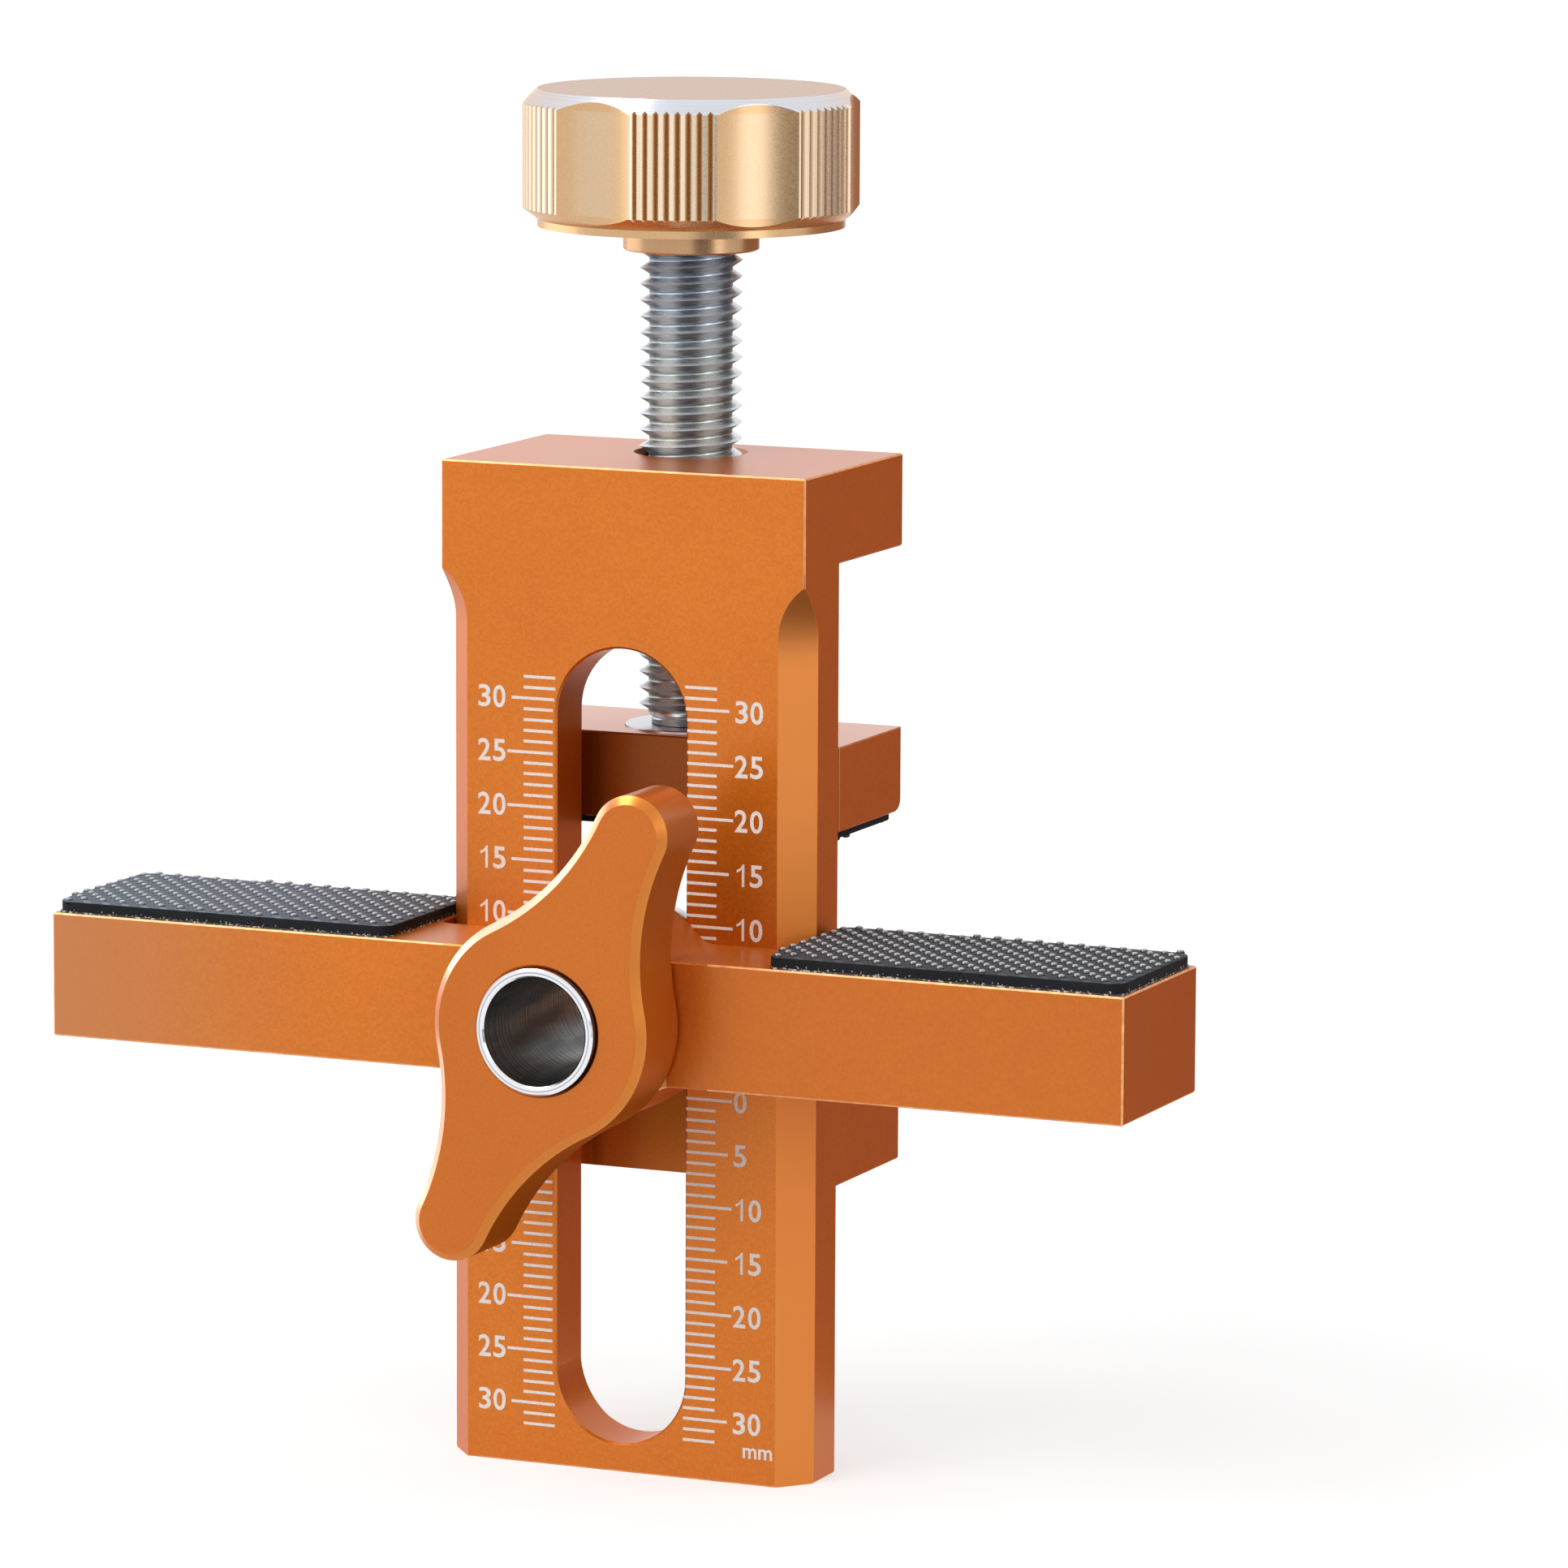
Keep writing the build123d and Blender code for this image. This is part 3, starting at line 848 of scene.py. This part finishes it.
def thread_mesh(material):
    """The screw's thread: a sheet of rows that follow the helix, closed at both ends."""
    bottom = screw_neck_foot + screw_neck_length
    top = screw_high.z
    turns_below = floor((bottom - thread_start_height) / thread_pitch) - 2
    start = thread_start_height + turns_below * thread_pitch
    rows = rows_per_pitch * (ceil((top - start) / thread_pitch) + 2) + 1

    shape = Shape("helical_thread")
    tree = shape.tree
    pitch = shape.size("Pitch", thread_pitch)
    crest = shape.size("Crest radius", screw_high.x)
    root = shape.size("Root radius", thread_root)
    flat = shape.size("Root flat share", thread_root_flat)
    foot = shape.size("Foot", bottom)
    head = shape.size("Head", top)
    begin = shape.size("Start", start)
    chamfer = shape.size("Lead chamfer", screw_lead_chamfer)
    columns = shape.size("Columns", thread_columns, whole=True)
    lines = shape.size("Rows", rows, whole=True)

    grid = tree.add("GeometryNodeMeshGrid", inputs={"Vertices X": columns + 1, "Vertices Y": lines})
    index = tree.value(tree.add("GeometryNodeInputIndex").outputs[0])
    line = index % lines
    rounding_room = 0.01
    column = ((index - line) / lines + rounding_room).floor()
    turn = column / columns
    free_height = begin + pitch * (line / rows_per_pitch + turn)
    height = free_height.at_least(foot).at_most(head)
    slope = abs((line / rows_per_pitch + 0.5) % 1.0 - 0.5) * 2.0
    down = (slope / (1.0 - flat)).at_most(1.0)
    lead = crest - chamfer + (height - foot)
    radius = (crest - (crest - root) * down).at_most(lead)
    past_end = pitch / rows_per_pitch * 1.5
    inside = (free_height > foot - past_end) * (free_height < head + past_end)
    reach = radius * inside
    angle = turn * tau
    moved = tree.add("GeometryNodeSetPosition", inputs={
        "Geometry": grid.outputs[0],
        "Position": tree.vector(reach * angle.cosine(), reach * angle.sine(), height),
    })
    merged = tree.add("GeometryNodeMergeByDistance", inputs={
        "Geometry": moved.outputs[0], "Distance": thread_merge_reach,
    })
    smooth = tree.add("GeometryNodeSetShadeSmooth", inputs={"Geometry": merged.outputs[0]})
    base = bpy.data.meshes.new("thread_base")
    return shape.bake("thread", base, smooth.outputs[0], material)


def clamp_screw():
    """The threaded screw with its neck, journal and clip groove, in place of the plain solid."""
    steel = surface("thread_steel", thread_steel)
    thread = thread_mesh(steel)
    section = [
        (screw_journal - screw_journal_break, screw_low.z),
        (screw_journal, screw_low.z + screw_journal_break),
        (screw_journal, clip_low.z),
        (screw_journal_groove, clip_low.z),
        (screw_journal_groove, clip_high.z),
        (screw_journal, clip_high.z),
        (screw_journal, screw_neck_foot),
        (screw_neck, screw_neck_foot),
        (screw_neck, screw_neck_foot + screw_neck_length + screw_neck_overlap),
    ]
    journal = mesh_of("journal", lambda work: turned(work, section))

    def join(work):
        work.from_mesh(thread.data)
        work.from_mesh(journal)
        bmesh.ops.recalc_face_normals(work, faces=work.faces)

    thread.data = mesh_of("clamp_screw_mesh", join)
    smoothed(thread, sharp_from=38.0)
    thread.name = "threaded_screw"
    shown(thread, "screw", steel)
    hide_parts("clamp_screw")


def pad_outline(low, high, inset, corner):
    """The points of a rectangle with rounded corners, in a plane."""
    points = []
    centres = (
        (high.x - corner, high.y - corner, 0.0),
        (low.x + corner, high.y - corner, 0.25),
        (low.x + corner, low.y + corner, 0.5),
        (high.x - corner, low.y + corner, 0.75),
    )
    for x, y, start in centres:
        for step in range(pad_corner_steps + 1):
            angle = tau * (start + 0.25 * step / pad_corner_steps)
            reach = corner - inset
            points.append((x + reach * cos(angle), y + reach * sin(angle)))
    return points


def pad_slab(low, high, facing):
    """The pad's body, with a soft edge round the side that the knobs are on."""
    foot, head = (low.z, high.z) if facing > 0 else (high.z, low.z)
    levels = [(foot, 0.0), (head - facing * pad_soft_edge, 0.0)]
    for step in range(1, pad_soft_steps + 1):
        angle = pi / 2 * step / pad_soft_steps
        drop = pad_soft_edge * (1.0 - sin(angle))
        levels.append((head - facing * drop, pad_soft_edge * (1.0 - cos(angle))))

    def build(work):
        rings = [
            [(x, y, height) for x, y in pad_outline(low, high, inset, pad_corner)] for height, inset in levels
        ]
        stacked_rings(work, rings if facing > 0 else rings[::-1])

    return mesh_of("pad_slab", build)


def knob_field(shape, low, high, face, height):
    """The shape's own mesh with a skewed square grid of low round knobs on one of its faces."""
    middle = (low + high) / 2
    half = (high - low) / 2
    knobs_each_way = 2 * ceil(half.xy.length / knob_pitch) + 1
    tree = shape.tree
    pitch = shape.size("Pitch", knob_pitch)
    turn = shape.size("Turn", knob_grid_turn)
    rise = shape.size("Rise", height)
    wide = shape.size("Knob radius", knob_pitch * knob_radius_share)
    half_x = shape.size("Half length", half.x)
    half_y = shape.size("Half width", half.y)
    count = shape.size("Knobs each way", knobs_each_way, whole=True)

    reach = pitch * (count - 1)
    grid = tree.add("GeometryNodeMeshGrid", inputs={
        "Size X": reach, "Size Y": reach, "Vertices X": count, "Vertices Y": count,
    })
    points = tree.add("GeometryNodeMeshToPoints", inputs={"Mesh": grid.outputs[0]})
    turned_grid = tree.add("GeometryNodeTransform", inputs={
        "Geometry": points.outputs[0], "Rotation": tree.vector(0.0, 0.0, turn),
    })
    spot = tree.add("ShaderNodeSeparateXYZ", inputs={0: tree.add("GeometryNodeInputPosition").outputs[0]})
    x, y = tree.value(spot.outputs[0]), tree.value(spot.outputs[1])
    rim = wide * knob_rim_share
    outside = (abs(x) > half_x - rim).at_least(abs(y) > half_y - rim)
    kept = tree.add("GeometryNodeDeleteGeometry", {"domain": "POINT"}, {
        "Geometry": turned_grid.outputs[0], "Selection": outside,
    })
    ball = tree.add("GeometryNodeMeshUVSphere", inputs={
        "Segments": knob_sides, "Rings": knob_rings, "Radius": 1.0,
    })
    stood = tree.add("GeometryNodeInstanceOnPoints", inputs={
        "Points": kept.outputs[0],
        "Instance": ball.outputs[0],
        "Scale": tree.vector(wide, wide, rise),
    })
    seated = tree.add("GeometryNodeTransform", inputs={
        "Geometry": stood.outputs[0], "Translation": (middle.x, middle.y, face),
    })
    joined = tree.add("GeometryNodeJoinGeometry")
    shape.group.links.new(shape.inlet.outputs["Geometry"], joined.inputs[0])
    shape.group.links.new(seated.outputs[0], joined.inputs[0])
    return joined.outputs[0]


def knobbed_pad(name, node, body, facing, height):
    """A rubber pad, a soft-edged slab whose face carries knobs."""
    low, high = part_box(node)
    tip = high.z if facing > 0 else low.z
    face = tip - facing * height
    slab_low = Vector((low.x + pad_draw_in, low.y + pad_draw_in, low.z if facing > 0 else face))
    slab_high = Vector((high.x - pad_draw_in, high.y - pad_draw_in, face if facing > 0 else high.z))
    material = surface(name, pad_rubber(face, tip, (low + high) / 2))
    shape = Shape(name + "_knobs")
    knobs = knob_field(shape, low, high, face, height)
    pad = shape.bake(name, pad_slab(slab_low, slab_high, facing), knobs, material)
    smoothed(pad, sharp_from=50.0)
    shown(pad, body, material)
    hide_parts(node)


def rubber_pads():
    """The two pads that the door stands on, and the two that grip the rail."""
    knobbed_pad("left_arm_pad", "arm_pad_left", "arm", 1, arm_knob_height)
    knobbed_pad("right_arm_pad", "arm_pad_right", "arm", 1, arm_knob_height)
    knobbed_pad("upper_jaw_pad", "moving_jaw_pad", "jaw", -1, jaw_knob_height)
    knobbed_pad("lower_jaw_pad", "fixed_jaw_pad", "frame", 1, jaw_knob_height)


def scale_column(zero, step, slot_arc, side, material):
    """A column of short marks, a millimetre apart, cut short where the slot is in their way."""
    shape = Shape("scale_column")
    tree = shape.tree
    spacing = shape.size("Spacing", step * scale_spacing)
    count = shape.size("Count", scale_count, whole=True)
    first = shape.size("Zero", zero)
    outer = shape.size("Reach", mark_reach)
    width = shape.size("Width", mark_width)
    thick = shape.size("Thickness", print_thickness)
    half_slot = shape.size("Slot half width", slot_half)
    arc = shape.size("Slot arc centre", slot_arc)
    gap = shape.size("Gap to slot", slot_edge + mark_gap_to_slot)

    order = tree.value(tree.add("GeometryNodeInputIndex").outputs[0])
    height = first + spacing * order
    past = ((height - arc) * step).at_least(0.0)
    edge = (half_slot * half_slot - past * past).at_least(0.0).root() + gap
    inner = edge.at_least(half_slot)
    middle = (inner + outer) / 2.0 * side + print_shift
    line = tree.add("GeometryNodeMeshLine", inputs={"Count": count})
    spread = tree.add("GeometryNodeSetPosition", inputs={
        "Geometry": line.outputs[0],
        "Position": tree.vector(middle, body_low.y - thick / 2.0, height),
    })
    bar = tree.add("GeometryNodeMeshCube")
    stood = tree.add("GeometryNodeInstanceOnPoints", inputs={
        "Points": spread.outputs[0],
        "Instance": bar.outputs[0],
        "Scale": tree.vector(outer - inner, thick, width),
    })
    base = bpy.data.meshes.new("column_base")
    return shape.bake("scale_column", base, stood.outputs[0], material)


def scale_marks(material):
    """The four columns of marks, on both sides of the slot, up from one zero and down from the other."""
    return [
        scale_column(zero, step, slot_arc, side, material)
        for zero, step, slot_arc in ((upper_zero, 1, slot_arc_high), (lower_zero, -1, slot_arc_low))
        for side in (-1, 1)
    ]


def typeset(words):
    """A word in Blender's own type as a flat mesh, its strokes a little fuller."""
    curve = bpy.data.curves.new(words, "FONT")
    curve.body = words
    curve.resolution_u = 6
    curve.offset = stroke_growth
    lettering = placed(words, curve)
    mesh = worked_out(lettering)
    bpy.data.objects.remove(lettering)
    return mesh


def fitted(mesh, width=None):
    """A flat mesh at unit height, from its lower left corner, with a width or its own proportions."""
    low = Vector([min(vertex.co[axis] for vertex in mesh.vertices) for axis in range(3)])
    high = Vector([max(vertex.co[axis] for vertex in mesh.vertices) for axis in range(3)])
    tall = 1.0 / (high.y - low.y)
    wide = width / (high.x - low.x) if width else tall
    mesh.transform(Matrix.Translation((-low.x, -low.y, 0.0)))
    mesh.transform(Matrix.Diagonal((wide, tall, 1.0, 1.0)))
    return mesh


def figure_one(work):
    """The drawn figure one, as one flat face."""
    work.faces.new([work.verts.new((x, y, 0.0)) for x, y in digit_one])


def digit_mesh(digit):
    """One digit of unit height. The figure one has a flag, which Blender's own type leaves out."""
    gap, width = digit_spans[digit]
    if digit == "1":
        mesh = mesh_of("digit", figure_one)
    else:
        mesh = fitted(typeset(digit), width)
    mesh.transform(Matrix.Translation((gap, 0.0, 0.0)))
    return mesh


def lay_on_plate(work, mesh, size, corner):
    """Stands a flat mesh of unit height up against the plate's front, from its lower left corner."""
    mesh.transform(Matrix.Diagonal((size, size, size, 1.0)))
    mesh.transform(Matrix.Rotation(pi / 2, 4, "X"))
    mesh.transform(Matrix.Translation((corner[0], body_low.y - print_thickness, corner[1])))
    work.from_mesh(mesh)


def flat_mark(work, x, z):
    """A thin block on the plate's front between limits."""
    y = (body_low.y - print_thickness, body_low.y)
    made = bmesh.ops.create_cube(work, size=1.0)["verts"]
    size = Vector((x[1] - x[0], y[1] - y[0], z[1] - z[0]))
    middle = Vector((x[0] + x[1], y[0] + y[1], z[0] + z[1])) / 2
    bmesh.ops.transform(work, matrix=Matrix.LocRotScale(middle, None, size), verts=made)


def scale_numbers(work):
    """The long dashes at every fifth mark, with their numbers beside them."""
    for zero, step in ((upper_zero, 1), (lower_zero, -1)):
        for number, reach in dash_reach.items():
            height = zero + step * number * scale_spacing
            digits = str(number)
            width = digit_step * number_height * len(digits)
            for side in (-1, 1):
                ends = sorted(side * end + print_shift for end in (mark_reach - mark_overlap, reach))
                flat_mark(work, ends, (height - mark_width / 2, height + mark_width / 2))
                left = (number_inner if side > 0 else -number_inner - width) + print_shift
                for digit in digits:
                    lay_on_plate(work, digit_mesh(digit), number_height, (left, height - number_height / 2))
                    left += digit_step * number_height
    unit = fitted(typeset("mm"))
    unit_width = max(vertex.co.x for vertex in unit.vertices) * unit_height
    corner = (unit_place[0] - unit_width / 2, unit_place[1] - unit_height / 2)
    lay_on_plate(work, unit, unit_height, corner)


def printed_scale():
    """The whole scale as one piece on the plate."""
    white = surface("laser_white", laser_white)
    columns = scale_marks(white)
    numbers = mesh_of("scale_numbers", scale_numbers)

    def join(work):
        work.from_mesh(numbers)
        for column in columns:
            work.from_mesh(column.data)

    scale = placed("printed_scale", mesh_of("printed_scale", join))
    for column in columns:
        bpy.data.objects.remove(column)
    shown(scale, "frame", white)


def dress_solids():
    """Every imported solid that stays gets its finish."""
    finishes = {
        surface("body_anodising", body_anodising): ("body",),
        surface("jaw_anodising", jaw_anodising): ("moving_jaw",),
        surface("bar_anodising", bar_anodising): ("crossbar",),
        surface("handle_anodising", handle_anodising): ("lock_handle",),
        surface("gold_anodising", gold_anodising): ("clamp_knob",),
        surface("bush_steel", bush_steel): ("guide_bush",),
        surface("turned_steel", turned_steel): ("thrust_washer", "retaining_clip"),
        surface("adhesive", adhesive): (
            "fixed_jaw_film", "moving_jaw_film", "arm_film_left", "arm_film_right"
        ),
    }
    for finish, nodes in finishes.items():
        for node in nodes:
            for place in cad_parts[node].material_slots:
                place.material = finish


# Studio
white_strength = 1.0
soft_light = 0.62
floor_glow = 0.6
floor_grey = (0.5, 0.5, 0.5, 1.0)
floor_reach = 12.0
floor_gap = 0.01 * MM
card_steps = 12


def seen_white(tree):
    """1 for what the camera, a reflection or a pane of glass sees, and 0 for light on the object."""
    path = tree.add("ShaderNodeLightPath").outputs
    seen = tree.value(path["Is Camera Ray"]) + tree.value(path["Is Glossy Ray"])
    return (seen + tree.value(path["Is Transmission Ray"])).at_most(1.0)


def studio_world():
    """Even soft light from all round, with white behind the object."""
    world = bpy.data.worlds.new("studio")
    bpy.context.scene.world = world
    world.use_nodes = True
    world.node_tree.nodes.clear()
    tree = Tree(world.node_tree)
    seen = seen_white(tree)
    strength = soft_light + seen * (white_strength - soft_light)
    background = tree.add("ShaderNodeBackground", inputs={"Color": (1, 1, 1, 1), "Strength": strength})
    tree.add("ShaderNodeOutputWorld", inputs={"Surface": background.outputs[0]})


def studio_floor():
    """A pale floor that glows to white in the picture and keeps the soft shadow."""
    made, tree = empty_material("studio_floor")
    glow = tree.add("ShaderNodeEmission", inputs={"Strength": seen_white(tree) * floor_glow})
    pale = tree.add("ShaderNodeBsdfDiffuse", inputs={"Color": floor_grey})
    both = tree.add("ShaderNodeAddShader", inputs={0: glow.outputs[0], 1: pale.outputs[0]})
    tree.add("ShaderNodeOutputMaterial", inputs={"Surface": both.outputs[0]})
    floor_mesh = mesh_of("studio_floor", lambda work: bmesh.ops.create_grid(work, size=floor_reach))
    floor_plane = placed("studio_floor", floor_mesh)
    floor_plane.location.z = cad_low.z - floor_gap
    floor_plane.data.materials.append(made)


def card(name, azimuths, profile, strength, colour="#ffffff"):
    """A curved card round the set that only reflections see, from pairs of distance and height."""
    made, tree = empty_material(name)
    face = tree.add("ShaderNodeEmission", inputs={"Color": paint(colour), "Strength": strength})
    tree.add("ShaderNodeOutputMaterial", inputs={"Surface": face.outputs[0]})

    def build(work):
        columns = []
        for step in range(card_steps + 1):
            angle = radians(azimuths[0] + (azimuths[1] - azimuths[0]) * step / card_steps)
            columns.append([
                work.verts.new((distance * cos(angle), distance * sin(angle), cad_low.z + height))
                for distance, height in profile
            ])
        for left, right in zip(columns, columns[1:]):
            for place in range(len(profile) - 1):
                work.faces.new((left[place], right[place], right[place + 1], left[place + 1]))

    sheet = placed(name, mesh_of(name, build))
    sheet.visible_camera = False
    sheet.visible_diffuse = False
    sheet.visible_shadow = False
    sheet.data.materials.append(made)


def studio_sun(name, direction, strength, spread):
    """A broad soft lamp that shines along a direction."""
    lamp = bpy.data.lights.new(name, "SUN")
    lamp.energy = strength
    lamp.angle = radians(spread)
    placed(name, lamp).rotation_euler = Vector(direction).to_track_quat("-Z", "Y").to_euler()


def studio_lights():
    """Two broad lamps, and cards at azimuths in degrees, with 0 at the part's right."""
    studio_sun("key_light", direction=(0.55, 0.75, -0.75), strength=1.5, spread=50.0)
    studio_sun("fill_light", direction=(-0.5, 0.8, -0.25), strength=0.35, spread=60.0)
    card(
        "warm_card_behind", azimuths=(30.0, 94.0), profile=((0.02, 0.0005), (0.5, 0.0005), (0.5, 0.18)),
        strength=0.45, colour="#ffc4a6"
    )
    card(
        "dim_card_in_front", azimuths=(-62.0, -29.0), profile=((0.3, 0.0005), (0.6, 0.0005), (0.6, 0.14)),
        strength=0.15
    )
    card("bright_card_right", azimuths=(-26.0, -10.0), profile=((0.5, 0.0005), (0.5, 0.35)), strength=2.4)
    card("bright_card_left", azimuths=(155.0, 200.0), profile=((0.5, 0.04), (0.5, 0.26)), strength=2.3)
    card("bright_card_above", azimuths=(175.0, 225.0), profile=((0.4, 0.5), (0.15, 0.6)), strength=7.0)


# Camera, from the marks of the scale and the corners of the solids in the photograph
camera_place = (331.13 * MM, -741.95 * MM, 150.86 * MM)
camera_yaw = radians(23.433)
camera_pitch = radians(8.769)
camera_roll = radians(0.261)
picture_width = 1932
focal_pixels = 10893.5
sensor_width = 36.0
nearest_seen = 0.05
farthest_seen = 60.0


def studio_camera():
    """The photograph's own view."""
    lens = bpy.data.cameras.new("camera")
    lens.sensor_width = sensor_width
    lens.lens = sensor_width * focal_pixels / picture_width
    lens.clip_start = nearest_seen
    lens.clip_end = farthest_seen
    camera = placed("camera", lens)
    turn = Matrix.Rotation(camera_yaw, 4, "Z")
    tilt = Matrix.Rotation(pi / 2 - camera_pitch, 4, "X")
    roll = Matrix.Rotation(camera_roll, 4, "Z")
    camera.matrix_world = Matrix.Translation(camera_place) @ turn @ tilt @ roll
    bpy.context.scene.camera = camera


bpy.context.scene.view_settings.view_transform = "Standard"
studio_camera()
studio_world()
studio_floor()
studio_lights()
dress_solids()
clamp_screw()
rubber_pads()
printed_scale()
